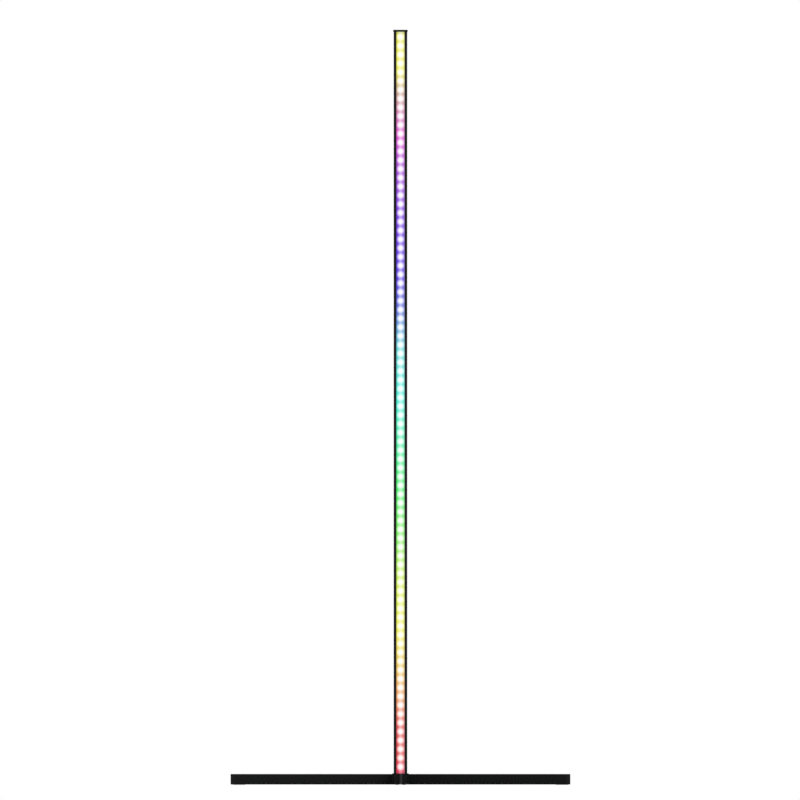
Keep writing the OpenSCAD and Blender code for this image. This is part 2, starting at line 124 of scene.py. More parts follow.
# Colours along the light line, from its foot up, as they look on the cover between two lights:
# share of the tape's length, hue in degrees, saturation, value
LIGHT_COLOURS = (
    (0.00, 350, 0.75, 0.85),  # crimson
    (0.02, 0, 0.70, 0.85),    # red
    (0.06, 0, 0.65, 0.85),    # red
    (0.10, 25, 0.60, 0.90),   # orange
    (0.19, 60, 0.65, 0.90),   # yellow
    (0.25, 70, 0.65, 0.90),   # lime
    (0.31, 105, 0.60, 0.90),  # yellow-green
    (0.38, 130, 0.70, 0.90),  # green
    (0.50, 170, 0.70, 0.90),  # cyan
    (0.57, 180, 0.55, 0.80),  # teal
    (0.63, 235, 0.60, 0.80),  # blue
    (0.67, 250, 0.75, 0.85),  # indigo
    (0.75, 260, 0.75, 0.85),  # violet
    (0.82, 280, 0.65, 0.80),  # purple
    (0.86, 305, 0.65, 0.82),  # magenta
    (0.92, 25, 0.30, 0.75),   # peach
    (0.95, 60, 0.65, 0.90),   # yellow
    (1.00, 60, 0.60, 0.85),   # pale yellow
)

# The foot cover's upright rib, with a painted highlight along it: a lighter strip, right of its crest,
# where the key light falls
RIB_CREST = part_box("channel_foot_cover")[0].y
RIB_DEPTH = 0.0015       # what lies this close behind the crest is the rib
RIB_HIGHLIGHT_X = 0.0015       # middle of the strip
RIB_HIGHLIGHT_HALF = 0.0043    # half its width
# Colour of the painted highlight at its brightest
RIB_HIGHLIGHT_COLOUR = (0.044, 0.043, 0.044)

# Copper pads and cut lines on the tape. HALF is from the middle out
PAD_LANE = 0.0024        # from one pad to the next across the tape
PAD_HALF_WIDTH = 0.0008
PAD_HALF_LENGTH = 0.0014
PADS_HALF = 0.0034       # of the part of the tape that has pads
CUT_HALF = 0.00008

# Small parts
CAPACITOR_BODY = 0.62    # share of a capacitor's length between its tinned ends
TRACE_PITCH = 0.0009     # from one trace of the board to the next
TRACE_HALF = 0.12        # half a trace's flat top, as a share of that
TRACE_FADE = 0.17        # and where its slope ends, from its middle

# The inlet's bore and its spring contact
BORE_Z = 0.0105
BORE_RADIUS = 0.00315
BORE_DEPTH = 0.0095
LEAF_ROOT = 0.0003       # how deep the contact's root sits in the bore's floor
LEAF_STEPS = 20          # faces along it
LEAF_ACROSS = 4          # faces across it
LEAF_EDGE_PART = 5       # its thickness over the rounding of its edges
LEAF_EDGE_STEPS = 2

# Most values of a noise lie between these
NOISE_LOW, NOISE_HIGH = 0.3, 0.7

# Wear and dust start at LOW and are full at HIGH
EDGE_LOW, EDGE_HIGH = 0.99, 0.80  # cosine between a face's direction and the rounded one
EDGE_SAMPLES = 6                  # directions felt out round each shaded point
UP_LOW, UP_HIGH = 0.75, 0.98      # cosine between a face's direction and straight up
DUST_LOW, DUST_HIGH = 0.45, 0.85  # noise of the dust's spots
DUST_COVER = 0.10
DUST_COLOUR = (0.32, 0.31, 0.29)

WHITE = (1, 1, 1)
BLACK = (0, 0, 0)


# ---- Settings ----

class PhotoViewSettings(bpy.types.PropertyGroup):
    """How the photograph frames the lamp, seen straight on"""

    image_size: IntProperty(
        name="Image size", description="Side of the square photograph in pixels",
        default=800, subtype="PIXEL",
    )
    pixel: FloatProperty(
        name="Pixel", description="Real size of one pixel at the lamp",
        default=0.001896, precision=6, unit="LENGTH",
    )
    axis_column: FloatProperty(
        name="Axis column", description="Pixel column of the pole's axis",
        default=400.45, subtype="PIXEL",
    )
    floor_row: FloatProperty(
        name="Floor row", description="Pixel row of the floor under the foot pads",
        default=784.79, subtype="PIXEL",
    )
    distance: FloatProperty(
        name="Camera distance", description="From the camera to the pole",
        default=4.0, unit="LENGTH",
    )


class StudioSettings(bpy.types.PropertyGroup):
    """Light and floor of the studio"""

    background: FloatProperty(
        name="Background", description="Brightness of the background that the camera sees",
        default=1.0, min=0, max=1,
    )
    ambient: FloatProperty(
        name="Ambient", description="Light that reaches the lamp from all round",
        default=0.35, min=0,
    )
    floor_size: FloatProperty(
        name="Floor size", description="Width of the square floor",
        default=14.0, unit="LENGTH",
    )
    floor_colour: FloatVectorProperty(
        name="Floor colour", description="Paint of the floor",
        default=(0.88, 0.88, 0.88), subtype="COLOR", size=3, min=0, max=1,
    )
    floor_near: FloatProperty(
        name="Floor, near", description="Where the floor starts to fade into the white background",
        default=0.8, unit="LENGTH",
    )
    floor_far: FloatProperty(
        name="Floor, far", description="Where the floor has become the white background",
        default=2.6, unit="LENGTH",
    )
    key_power: FloatProperty(
        name="Key light", description="Power of the softbox in front, on the right",
        default=38.0, unit="POWER",
    )
    fill_power: FloatProperty(
        name="Fill light", description="Power of the softbox in front, on the left",
        default=60.0, unit="POWER",
    )
    side_power: FloatProperty(
        name="Side light", description="Power of the softbox on the right",
        default=34.0, unit="POWER",
    )
    back_power: FloatProperty(
        name="Back light", description="Power of the softbox behind the lamp",
        default=36.0, unit="POWER",
    )


class LightLineSettings(bpy.types.PropertyGroup):
    """The lights behind the cover, and how the cover spreads them"""

    count: IntProperty(
        name="Lights", description="Number of light packages on the tape",
        default=84, min=1,
    )
    offset: FloatProperty(
        name="Offset", description="How far right of the pole's axis the lights shine",
        default=0.0003, precision=4, unit="LENGTH",
    )
    spread: FloatProperty(
        name="Spread", description="How far one light spreads on the cover",
        default=0.0047, precision=4, unit="LENGTH",
    )
    foot_reach: FloatProperty(
        name="Reach at the foot", description="How many times further the lowest light spreads down",
        default=1.25, min=1,
    )
    top_reach: FloatProperty(
        name="Reach at the top", description="How many times further the highest light spreads up",
        default=1.35, min=1,
    )
    foot_glow: FloatProperty(
        name="Glow at the foot",
        description="Share of a light's strength that the channel's foot throws back",
        default=0.45, min=0.01, max=1, subtype="FACTOR",
    )
    top_glow: FloatProperty(
        name="Glow at the top",
        description="Share of a light's strength that the top cap throws back",
        default=0.61, min=0.01, max=1, subtype="FACTOR",
    )
    gap_shade: FloatProperty(
        name="Gap shade",
        description="Brightness left on the line's middle, half way between two lights",
        default=0.965, min=0, max=1, subtype="FACTOR",
    )
    threshold: FloatProperty(
        name="White threshold",
        description="Share of full light at which the colour starts to wash out",
        default=0.25, min=0, max=1, subtype="FACTOR",
    )
    strength: FloatProperty(
        name="Strength", description="Brightness of the lit cover, where 1 is white",
        default=0.92, min=0,
    )
    lip_shade: FloatProperty(
        name="Lip shade", description="Brightness left right beside the pole's lips",
        default=0.78, min=0, max=1, subtype="FACTOR",
    )
    lip_shade_width: FloatProperty(
        name="Lip shade width", description="How far the shade of the lips reaches",
        default=0.0013, precision=4, unit="LENGTH",
    )
    cap_shade: FloatProperty(
        name="Cap shade", description="Brightness left right under the top cap",
        default=0.83, min=0, max=1, subtype="FACTOR",
    )
    cap_shade_width: FloatProperty(
        name="Cap shade width", description="How far the shade of the top cap reaches",
        default=0.0070, precision=4, unit="LENGTH",
    )
    foot_shade: FloatProperty(
        name="Foot shade", description="Brightness left right above the foot cover",
        default=0.75, min=0, max=1, subtype="FACTOR",
    )
    foot_shade_width: FloatProperty(
        name="Foot shade width", description="How far the shade of the foot cover reaches",
        default=0.0042, precision=4, unit="LENGTH",
    )
    haze_right: FloatProperty(
        name="Haze, right",
        description="Pale haze that the channel's right wall throws on the cover",
        default=0.50, min=0, max=1, subtype="FACTOR",
    )
    haze_left: FloatProperty(
        name="Haze, left",
        description="Pale haze that the channel's left wall throws on the cover",
        default=0.12, min=0, max=1, subtype="FACTOR",
    )
    haze_start: FloatProperty(
        name="Haze start", description="How far from the axis the haze starts",
        default=0.0040, precision=4, unit="LENGTH",
    )


class InletSettings(bpy.types.PropertyGroup):
    """The spring contact along the bottom of the inlet's bore"""

    leaf_width: FloatProperty(
        name="Leaf width", description="Width of the spring contact",
        default=0.0018, precision=4, unit="LENGTH",
    )
    leaf_thickness: FloatProperty(
        name="Leaf thickness", description="Thickness of the spring contact",
        default=0.0002, precision=4, unit="LENGTH",
    )
    leaf_length: FloatProperty(
        name="Leaf length", description="Length of the spring contact along the bore",
        default=0.0073, precision=4, unit="LENGTH",
    )
    leaf_rise: FloatProperty(
        name="Leaf rise", description="How far its bow stands off the bore's wall",
        default=0.0006, precision=4, unit="LENGTH",
    )


class FinishSettings(bpy.types.PropertyGroup):
    """Colours of the lamp's finishes"""

    anodised: FloatVectorProperty(
        name="Anodised pole", description="Black anodised aluminium",
        default=(0.0050, 0.0050, 0.0055), subtype="COLOR", size=3, min=0, max=1,
    )
    coated: FloatVectorProperty(
        name="Powder coat", description="Black powder coat of the hub and the legs",
        default=(0.0035, 0.0037, 0.0037), subtype="COLOR", size=3, min=0, max=1,
    )
    moulded: FloatVectorProperty(
        name="Moulded black", description="Black plastic of the caps and covers",
        default=(0.0038, 0.0038, 0.0041), subtype="COLOR", size=3, min=0, max=1,
    )
    edge_wear: FloatProperty(
        name="Edge wear", description="How far the finish is rubbed thin along its edges",
        default=0.35, min=0, max=1, subtype="FACTOR",
    )


# ---- Node trees ----

def display_colour(hue, saturation, value):
    """Numbers from 0 to 1 of a screen colour, from its hue in degrees, saturation and value."""
    def channel(offset):
        """One of red, green and blue, by its offset on the hue circle in sixths."""
        place = (offset + hue / 60) % 6
        return value - value * saturation * max(0, min(place, 4 - place, 1))
    return (channel(5), channel(3), channel(1), 1)


def shade(colour, factor):
    """The colour made darker or lighter by factor, and never over 1."""
    return tuple(min(1.0, c * factor) for c in colour)


class Finish:
    """The node tree of one material. Its short calls add the nodes."""

    SHADER_INPUTS = {
        "colour": "Base Color", "rough": "Roughness", "metal": "Metallic",
        "specular": "Specular IOR Level", "normal": "Normal", "alpha": "Alpha",
        "glow": "Emission Color", "glow_strength": "Emission Strength",
    }

    def __init__(self, name):
        self.material = bpy.data.materials.new(name)
        self.material.use_nodes = True
        self.tree = self.material.node_tree
        self.shader = self.tree.nodes["Principled BSDF"]
        self.place = self.add("ShaderNodeTexCoord").outputs["Object"]

    def join(self, value, socket):
        """Links value to the socket, or sets it there if it's a plain number or colour."""
        if isinstance(value, bpy.types.NodeSocket):
            self.tree.links.new(value, socket)
        else:
            socket.default_value = value

    def add(self, kind, inputs=(), **settings):
        """Adds a node with these settings, and joins its inputs, given by name or number."""
        made = self.tree.nodes.new(kind)
        for key, value in settings.items():
            setattr(made, key, value)
        for key, value in dict(inputs).items():
            self.join(value, made.inputs[key])
        return made

    def set(self, **values):
        """Joins values to the shader's inputs, under their short names in SHADER_INPUTS."""
        for key, value in values.items():
            self.join(value, self.shader.inputs[self.SHADER_INPUTS[key]])
        return self

    def maths(self, operation, *values):
        """The result of a Math node."""
        return self.add("ShaderNodeMath", enumerate(values), operation=operation).outputs[0]

    def product(self, first, *others):
        """All these values multiplied together."""
        for other in others:
            first = self.maths("MULTIPLY", first, other)
        return first

    def vector(self, operation, inputs):
        """The outputs of a Vector Math node."""
        return self.add("ShaderNodeVectorMath", inputs, operation=operation).outputs

    def axis(self, name):
        """One coordinate of the shaded point, in the lamp's frame."""
        return self.add("ShaderNodeSeparateXYZ", {0: self.place}).outputs[name]

    def noise(self, size, detail=3.0, rough=0.5):
        """Cloudy noise with features about size across: one number, or one for each axis."""
        sizes = size if isinstance(size, tuple) else (size, size, size)
        stretched = self.add("ShaderNodeMapping", {
            "Vector": self.place, "Scale": [1 / s for s in sizes],
        }).outputs[0]
        return self.add("ShaderNodeTexNoise", {
            "Vector": stretched, "Scale": 1.0, "Detail": detail, "Roughness": rough,
        }).outputs["Fac"]

    def cells(self, size):
        """Distance to the nearest of the random points that lie about size apart."""
        return self.add("ShaderNodeTexVoronoi", {
            "Vector": self.place, "Scale": 1 / size,
        }, feature="F1").outputs["Distance"]

    def range(self, value, low, high, out_low=0.0, out_high=1.0, **settings):
        """value from low to high, spread over out_low to out_high and held there."""
        return self.add("ShaderNodeMapRange", {
            "Value": value, "From Min": low, "From Max": high,
            "To Min": out_low, "To Max": out_high,
        }, **settings).outputs["Result"]

    def between(self, noise, low, high):
        """A number that goes with the noise, from low to high."""
        return self.range(noise, NOISE_LOW, NOISE_HIGH, low, high)

    def mix(self, share, a, b):
        """The colour between a and b, by share."""
        made = self.add("ShaderNodeMix", data_type="RGBA")
        self.join(share, made.inputs["Factor"])
        # 6, 7 and 2 are its colour sockets: those for numbers and vectors have the same names
        for value, socket in ((a, made.inputs[6]), (b, made.inputs[7])):
            if not isinstance(value, bpy.types.NodeSocket):
                value = (*value[:3], 1)
            self.join(value, socket)
        return made.outputs[2]

    def tones(self, noise, dark, light):
        """The colour that goes with the noise, from dark to light."""
        return self.mix(self.range(noise, NOISE_LOW, NOISE_HIGH), dark, light)

    def bump(self, height, depth, below=None):
        """Relief of the given depth, over any relief below it."""
        inputs = {"Height": height, "Distance": depth, "Strength": 1.0}
        if below is not None:
            inputs["Normal"] = below
        return self.add("ShaderNodeBump", inputs).outputs[0]

    def from_nearest(self, value, pitch):
        """Distance from value to the nearest whole multiple of pitch."""
        share = self.maths("FRACT", self.maths("ADD", self.maths("DIVIDE", value, pitch), 0.5))
        return self.product(self.maths("ABSOLUTE", self.maths("SUBTRACT", share, 0.5)), pitch)

    def edges(self, radius):
        """1 on sharp edges, falling to 0 at the given distance from them."""
        true_normal = self.add("ShaderNodeNewGeometry").outputs["Normal"]
        round_normal = self.add(
            "ShaderNodeBevel", {"Radius": radius}, samples=EDGE_SAMPLES).outputs[0]
        alike = self.vector("DOT_PRODUCT", {0: true_normal, 1: round_normal})["Value"]
        return self.range(alike, EDGE_LOW, EDGE_HIGH)

    def worn(self, colour, radius, patches, rubbed):
        """The colour with its edges rubbed, more in some patches than in others."""
        wear = self.product(self.edges(radius), patches, bpy.context.scene.lamp_finish.edge_wear)
        return self.mix(wear, colour, rubbed)

    def dusty(self, colour, spot_size):
        """The colour with a little dust where the surface faces up."""
        normal = self.add("ShaderNodeNewGeometry").outputs["Normal"]
        rise = self.add("ShaderNodeSeparateXYZ", {0: normal}).outputs["Z"]
        spots = self.noise(spot_size, detail=6.0, rough=0.7)
        dust = self.product(
            self.range(rise, UP_LOW, UP_HIGH),
            self.range(spots, DUST_LOW, DUST_HIGH, 0.0, DUST_COVER))
        return self.mix(dust, colour, DUST_COLOUR)


def seen_ray(tree):
    """1 for the rays that show the background: the camera's, and those off gloss and through glass."""
    path = tree.nodes.new("ShaderNodeLightPath")
    seen = path.outputs["Is Camera Ray"]
    for ray in ("Is Glossy Ray", "Is Transmission Ray"):
        either = tree.nodes.new("ShaderNodeMath")
        either.operation = "MAXIMUM"
        tree.links.new(seen, either.inputs[0])
        tree.links.new(path.outputs[ray], either.inputs[1])
        seen = either.outputs[0]
    return seen


# ---- The light on the cover ----

def light_pitch():
    """Distance from one light to the next."""
    return (TAPE_HIGH.z - TAPE_LOW.z) / bpy.context.scene.lamp_line.count


def light_behind(finish, x, z):
    """Strength of the light behind the cover, from 0 to 1, and what the nearest gap takes off it."""
    line = bpy.context.scene.lamp_line
    pitch = light_pitch()
    first = TAPE_LOW.z + pitch / 2
    last = TAPE_HIGH.z - pitch / 2
    inside = finish.maths("MINIMUM", finish.maths("MAXIMUM", z, first), last)
    turn = finish.product(finish.maths("SUBTRACT", inside, first), 2 * pi / pitch)
    swing = finish.product(finish.maths("COSINE", turn), LIGHT_SWING)
    along = finish.maths("ADD", swing, 1 - LIGHT_SWING)
    beyond = 0.0
    for past, reach, glow in (
        (finish.maths("SUBTRACT", first, z), line.foot_reach, line.foot_glow),
        (finish.maths("SUBTRACT", z, last), line.top_reach, line.top_glow),
    ):
        faded = line.spread * sqrt(-2 * log(glow))  # where only the glow is left of a light
        beyond = finish.maths("ADD", beyond, finish.range(past, 0.0, reach * faded, 0.0, faded))
    across = finish.maths("SUBTRACT", x, line.offset)
    distance = finish.maths(
        "ADD", finish.product(across, across), finish.product(beyond, beyond))
    fade = finish.maths("EXPONENT", finish.product(distance, -1 / (2 * line.spread ** 2)))
    light = finish.product(along, fade)
    return light, finish.maths("SUBTRACT", fade, light)


def shade_on_cover(finish, x, z, gap):
    """Brightness that the gaps, the pole's lips, the top cap and the foot cover leave."""
    line = bpy.context.scene.lamp_line
    level = finish.range(gap, 0.0, 2 * LIGHT_SWING, 1.0, line.gap_shade)
    from_lip = finish.maths("SUBTRACT", WINDOW_HALF, finish.maths("ABSOLUTE", x))
    from_cap = finish.maths("SUBTRACT", WINDOW_TOP, z)
    from_foot = finish.maths("SUBTRACT", z, WINDOW_LOW)
    for away, width, darkest in (
        (from_lip, line.lip_shade_width, line.lip_shade),
        (from_cap, line.cap_shade_width, line.cap_shade),
        (from_foot, line.foot_shade_width, line.foot_shade),
    ):
        level = finish.product(level, finish.range(away, 0.0, width, darkest, 1.0))
    return level


def light_on_cover(finish):
    """Colour of the light at the shaded point of the cover, as a linear colour.

    The colour runs up the line. Over each light it washes out to white, as it does in a photograph.
    """
    line = bpy.context.scene.lamp_line
    x, z = finish.axis("X"), finish.axis("Z")
    light, gap = light_behind(finish, x, z)

    ramp = finish.add("ShaderNodeValToRGB", {0: finish.range(z, TAPE_LOW.z, TAPE_HIGH.z)})
    stops = ramp.color_ramp.elements
    stops.remove(stops[-1])
    for share, hue, saturation, value in LIGHT_COLOURS:
        stop = stops.new(share) if share else stops[0]
        stop.color = display_colour(hue, saturation, value)
    lift = finish.range(light, line.threshold, LIFT_FULL, 1.0, COLOUR_LIFT)
    bright = finish.vector("SCALE", {0: ramp.outputs["Color"], "Scale": lift})[0]
    bright = finish.vector("MINIMUM", {0: bright, 1: WHITE})[0]

    coloured = finish.maths("POWER", finish.range(light, line.threshold, 1.0, 1.0, 0.0), WASH_POWER)
    washed = finish.mix(finish.maths("SUBTRACT", 1.0, coloured), bright, WHITE)
    # The haze is painted light: pale light that the channel's walls throw back on the cover, mixed into
    # its glow
    haze = finish.maths(
        "ADD", finish.range(x, line.haze_start, WINDOW_HALF, 0.0, line.haze_right),
        finish.range(x, -WINDOW_HALF, -line.haze_start, line.haze_left, 0.0))
    hazy = finish.mix(haze, washed, HAZE_COLOUR)
    shaded = finish.vector("SCALE", {0: hazy, "Scale": shade_on_cover(finish, x, z, gap)})[0]
    return finish.add("ShaderNodeGamma", {"Color": shaded, "Gamma": DISPLAY_GAMMA}).outputs[0]


# ---- Finishes, one for each material slot of the record ----

def pole_anodised():
    """Black anodised extrusion: fine die lines run up it, with a few rubbed places."""
    tone = tuple(bpy.context.scene.lamp_finish.anodised)
    rubbed = (0.10, 0.10, 0.105)
    finish = Finish("pole_anodised")
    lines = finish.noise((0.0003, 0.0003, 0.18), detail=4.0, rough=0.65)
    bands = finish.noise((0.0022, 0.0022, 0.5), detail=2.0)
    cloud = finish.noise(0.035, detail=4.0)
    colour = finish.tones(lines, shade(tone, 0.75), shade(tone, 1.35))
    colour = finish.mix(finish.range(bands, 0.35, 0.65, 0.0, 0.35), colour, shade(tone, 1.7))
    return finish.set(
        colour=finish.worn(colour, 0.0004, finish.range(cloud, 0.35, 0.75), rubbed),
        rough=finish.maths(
            "ADD", finish.range(lines, 0.25, 0.75, 0.34, 0.46),
            finish.range(cloud, 0.4, 0.7, 0.0, 0.08)),
        specular=0.07,
        normal=finish.bump(lines, 0.00003, finish.bump(bands, 0.00004)),
    ).material


def coated(name, peel_size, peel_depth):
    """Black powder coat: orange peel over a fine grain, rubbed edges and a little dust on top."""
    tone = tuple(bpy.context.scene.lamp_finish.coated)
    rubbed = (0.06, 0.06, 0.062)
    finish = Finish(name)
    peel = finish.noise(peel_size, detail=2.0, rough=0.4)
    grain = finish.noise(peel_size / 5, detail=2.0)
    cloud = finish.noise(0.03, detail=5.0)
    colour = finish.tones(peel, shade(tone, 0.85), shade(tone, 1.25))
    colour = finish.mix(finish.range(cloud, 0.35, 0.75, 0.0, 0.5), colour, shade(tone, 1.5))
    colour = finish.worn(colour, 0.0005, finish.range(cloud, 0.40, 0.70), rubbed)
    return finish.set(
        colour=finish.dusty(colour, 0.0015),
        rough=finish.maths(
            "ADD", finish.between(peel, 0.46, 0.56), finish.range(cloud, 0.4, 0.7, 0.0, 0.10)),
        specular=0.05,
        normal=finish.bump(grain, 0.00001, finish.bump(peel, peel_depth)),
    ).material


def hub_black():
    """Powder coat of the hub, with a coarser peel than that of the legs."""
    return coated("hub_black", 0.0011, 0.00007)


def leg_black():
    """Powder coat of the legs."""
    return coated("leg_black", 0.0008, 0.00004)


def cap_black():
    """Black moulded plastic with a spark-eroded texture, and a painted highlight strip on the rib."""
    tone = tuple(bpy.context.scene.lamp_finish.moulded)
    rubbed = (0.05, 0.05, 0.052)
    finish = Finish("cap_black")
    sparks = finish.cells(0.00035)
    pits = finish.noise(0.0002, detail=2.0)
    cloud = finish.noise(0.012, detail=4.0)
    colour = finish.tones(cloud, shade(tone, 0.8), shade(tone, 1.3))
    colour = finish.mix(finish.range(sparks, 0.1, 0.6, 0.35, 0.0), colour, shade(tone, 2.0))
    # Painted highlight: a lighter strip along the rib, right of its crest, where the key light would
    # shine on it
    on_rib = finish.product(
        finish.maths("COMPARE", finish.axis("Y"), RIB_CREST, RIB_DEPTH),
        finish.maths("LESS_THAN", finish.axis("Z"), TAPE_LOW.z))
    from_highlight = finish.maths("ABSOLUTE", finish.maths("SUBTRACT", finish.axis("X"), RIB_HIGHLIGHT_X))
    wear_and_highlight = finish.product(on_rib, finish.range(from_highlight, 0.0, RIB_HIGHLIGHT_HALF, 1.0, 0.0))
    wear_and_highlight = finish.product(wear_and_highlight, finish.range(sparks, 0.1, 0.6, 1.0, 0.8))
    colour = finish.mix(wear_and_highlight, colour, RIB_HIGHLIGHT_COLOUR)
    colour = finish.worn(colour, 0.0003, finish.range(cloud, 0.40, 0.70), rubbed)
    return finish.set(
        colour=finish.dusty(colour, 0.0012),
        rough=finish.between(cloud, 0.30, 0.38), specular=0.08,
        normal=finish.bump(pits, 0.000004, finish.bump(sparks, 0.000008)),
    ).material


def foot_rubber():
    """Soft black rubber with a dull bloom."""
    dark, bloomed = (0.010, 0.010, 0.010), (0.026, 0.025, 0.024)
    finish = Finish("foot_rubber")
    bloom = finish.noise(0.004, detail=5.0, rough=0.6)
    grain = finish.noise(0.0003)
    return finish.set(
        colour=finish.mix(finish.range(bloom, 0.35, 0.7), dark, bloomed),
        rough=finish.between(bloom, 0.72, 0.88), specular=0.2,
        normal=finish.bump(grain, 0.00003),
    ).material


def black_screws():
    """Black oxide steel: dark, oily, brown where it is rubbed."""
    dark, light, rubbed = (0.014, 0.014, 0.016), (0.028, 0.027, 0.027), (0.16, 0.15, 0.14)
    finish = Finish("black_screws")
    blotch = finish.noise(0.0016, detail=4.0, rough=0.6)
    turned = finish.noise(0.00018, detail=2.0)
    colour = finish.mix(finish.range(blotch, 0.35, 0.65), dark, light)
    wear_and_highlight = finish.product(finish.edges(0.0002), finish.range(blotch, 0.35, 0.65, 0.2, 0.9))
    return finish.set(
        colour=finish.mix(wear_and_highlight, colour, rubbed),
        metal=0.85, rough=finish.between(blotch, 0.30, 0.44), specular=0.3,
        normal=finish.bump(turned, 0.00001),
    ).material


def bare_aluminium():
    """Plain drawn bar, with the marks of the die along it."""
    dull, bright = (0.50, 0.51, 0.53), (0.66, 0.67, 0.68)
    finish = Finish("bare_aluminium")
    lines = finish.noise((0.00025, 0.00025, 0.06), detail=4.0, rough=0.6)
    cloud = finish.noise(0.01, detail=4.0)
    return finish.set(
        colour=finish.tones(cloud, dull, bright),
        metal=1.0, rough=finish.between(lines, 0.26, 0.42),
        normal=finish.bump(lines, 0.00002),
    ).material


def diffuser_milk():
    """Milky cover, lit from behind."""
    finish = Finish("diffuser_milk")
    light = light_on_cover(finish)
    flow = finish.noise((0.0006, 0.0006, 0.25), detail=3.0)
    grain = finish.noise(0.00025)
    return finish.set(
        colour=finish.mix(COVER_DULLING, light, BLACK),
        glow=light, glow_strength=bpy.context.scene.lamp_line.strength,
        rough=finish.between(flow, 0.42, 0.55), specular=0.12,
        normal=finish.bump(grain, 0.000008, finish.bump(flow, 0.00002)),
    ).material


def tape_white():
    """White solder mask on a flexible circuit, with bare copper pads and a cut line at each pitch."""
    dull, white = (0.78, 0.78, 0.75), (0.86, 0.86, 0.83)
    copper, cut_line = (0.72, 0.38, 0.22), (0.12, 0.12, 0.12)
    finish = Finish("tape_white")
    x = finish.axis("X")
    up_tape = finish.maths("SUBTRACT", finish.axis("Z"), TAPE_LOW.z)
    from_cut = finish.from_nearest(up_tape, light_pitch())
    pad = finish.product(
        finish.maths("LESS_THAN", finish.from_nearest(x, PAD_LANE), PAD_HALF_WIDTH),
        finish.maths("LESS_THAN", finish.maths("ABSOLUTE", x), PADS_HALF),
        finish.maths("LESS_THAN", from_cut, PAD_HALF_LENGTH))
    cut = finish.maths("LESS_THAN", from_cut, CUT_HALF)
    weave = finish.noise(0.0005, detail=3.0)
    return finish.set(
        colour=finish.mix(cut, finish.mix(pad, finish.tones(weave, dull, white), copper), cut_line),
        metal=pad, rough=finish.between(weave, 0.38, 0.5), specular=0.4,
        normal=finish.bump(pad, 0.00003),
    ).material


def package_white():
    """White moulded package, slightly chalky."""
    dull, white = (0.80, 0.80, 0.77), (0.88, 0.88, 0.85)
    finish = Finish("package_white")
    chalk = finish.noise(0.0006, detail=4.0)
    return finish.set(
        colour=finish.tones(chalk, dull, white),
        rough=finish.between(chalk, 0.45, 0.6), specular=0.35,
        normal=finish.bump(chalk, 0.00001),
    ).material


def lens_yellow():
    """Clear resin that fills the package's cup, lit from inside."""
    dark, light = (0.70, 0.64, 0.38), (0.82, 0.76, 0.48)
    finish = Finish("lens_yellow")
    ripple = finish.noise(0.0009, detail=2.0)
    return finish.set(
        colour=finish.tones(ripple, dark, light),
        glow=light_on_cover(finish), glow_strength=LENS_GLOW,
        rough=finish.between(ripple, 0.08, 0.16), specular=0.5,
        normal=finish.bump(ripple, 0.00001),
    ).material


def capacitor_tan():
    """Ceramic capacitor with tinned ends."""
    dark, light, tin = (0.36, 0.27, 0.17), (0.50, 0.39, 0.27), (0.66, 0.66, 0.64)
    finish = Finish("capacitor_tan")
    low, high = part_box("tape_capacitors")
    body_half = (high.x - low.x) / 2 * CAPACITOR_BODY
    end = finish.maths("GREATER_THAN", finish.maths("ABSOLUTE", finish.axis("X")), body_half)
    speckle = finish.noise(0.0002, detail=3.0)
    return finish.set(
        colour=finish.mix(end, finish.tones(speckle, dark, light), tin), metal=end,
        rough=finish.between(speckle, 0.32, 0.46), specular=0.4,
        normal=finish.bump(speckle, 0.00001),
    ).material


def inlet_black():
    """Smooth moulded plastic of the inlet."""
    dark, light = (0.008, 0.008, 0.008), (0.013, 0.013, 0.013)
    finish = Finish("inlet_black")
    flow = finish.noise(0.002, detail=3.0)
    return finish.set(
        colour=finish.tones(flow, dark, light),
        rough=finish.between(flow, 0.18, 0.28), specular=0.3,
        normal=finish.bump(flow, 0.00001),
    ).material


def contact_nickel():
    """Nickel plate with faint wipe marks."""
    dull, bright = (0.60, 0.57, 0.52), (0.76, 0.73, 0.68)
    finish = Finish("contact_nickel")
    wipe = finish.noise((0.0001, 0.004, 0.0001), detail=3.0)
    return finish.set(
        colour=finish.tones(wipe, dull, bright),
        metal=1.0, rough=finish.between(wipe, 0.16, 0.3),
        normal=finish.bump(wipe, 0.000005),
    ).material


def board_green():
    """Green solder mask, with the traces standing out a little under it."""
    mask, over_trace = (0.012, 0.085, 0.035), (0.03, 0.16, 0.06)
    finish = Finish("board_green")
    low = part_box("control_board")[0]
    from_side = finish.maths("SUBTRACT", finish.axis("X"), low.x)
    lane = finish.maths("FRACT", finish.maths("DIVIDE", from_side, TRACE_PITCH))
    from_middle = finish.maths("ABSOLUTE", finish.maths("SUBTRACT", lane, 0.5))
    breaks = finish.noise((0.0009, 0.0009, 0.004), detail=1.0)
    trace = finish.product(
        finish.range(from_middle, TRACE_HALF, TRACE_FADE, 1.0, 0.0),
        finish.range(breaks, 0.47, 0.49))
    return finish.set(
        colour=finish.mix(trace, mask, over_trace),
        rough=0.3, specular=0.5, normal=finish.bump(trace, 0.00003),
    ).material


def chip_black():
    """Moulded epoxy of a chip."""
    dark, light = (0.018, 0.018, 0.019), (0.034, 0.034, 0.036)
    finish = Finish("chip_black")
    fill = finish.noise(0.00025, detail=4.0, rough=0.7)
    return finish.set(
        colour=finish.tones(fill, dark, light),
        rough=finish.between(fill, 0.5, 0.62), specular=0.4,
        normal=finish.bump(fill, 0.00001),
    ).material


def insulation(name, dark, light):
    """Drawn plastic insulation of a wire."""
    finish = Finish(name)
    flow = finish.noise(0.0008, detail=3.0)
    return finish.set(
        colour=finish.tones(flow, dark, light),
        rough=finish.between(flow, 0.28, 0.4), specular=0.45,
        normal=finish.bump(flow, 0.00001),
    ).material


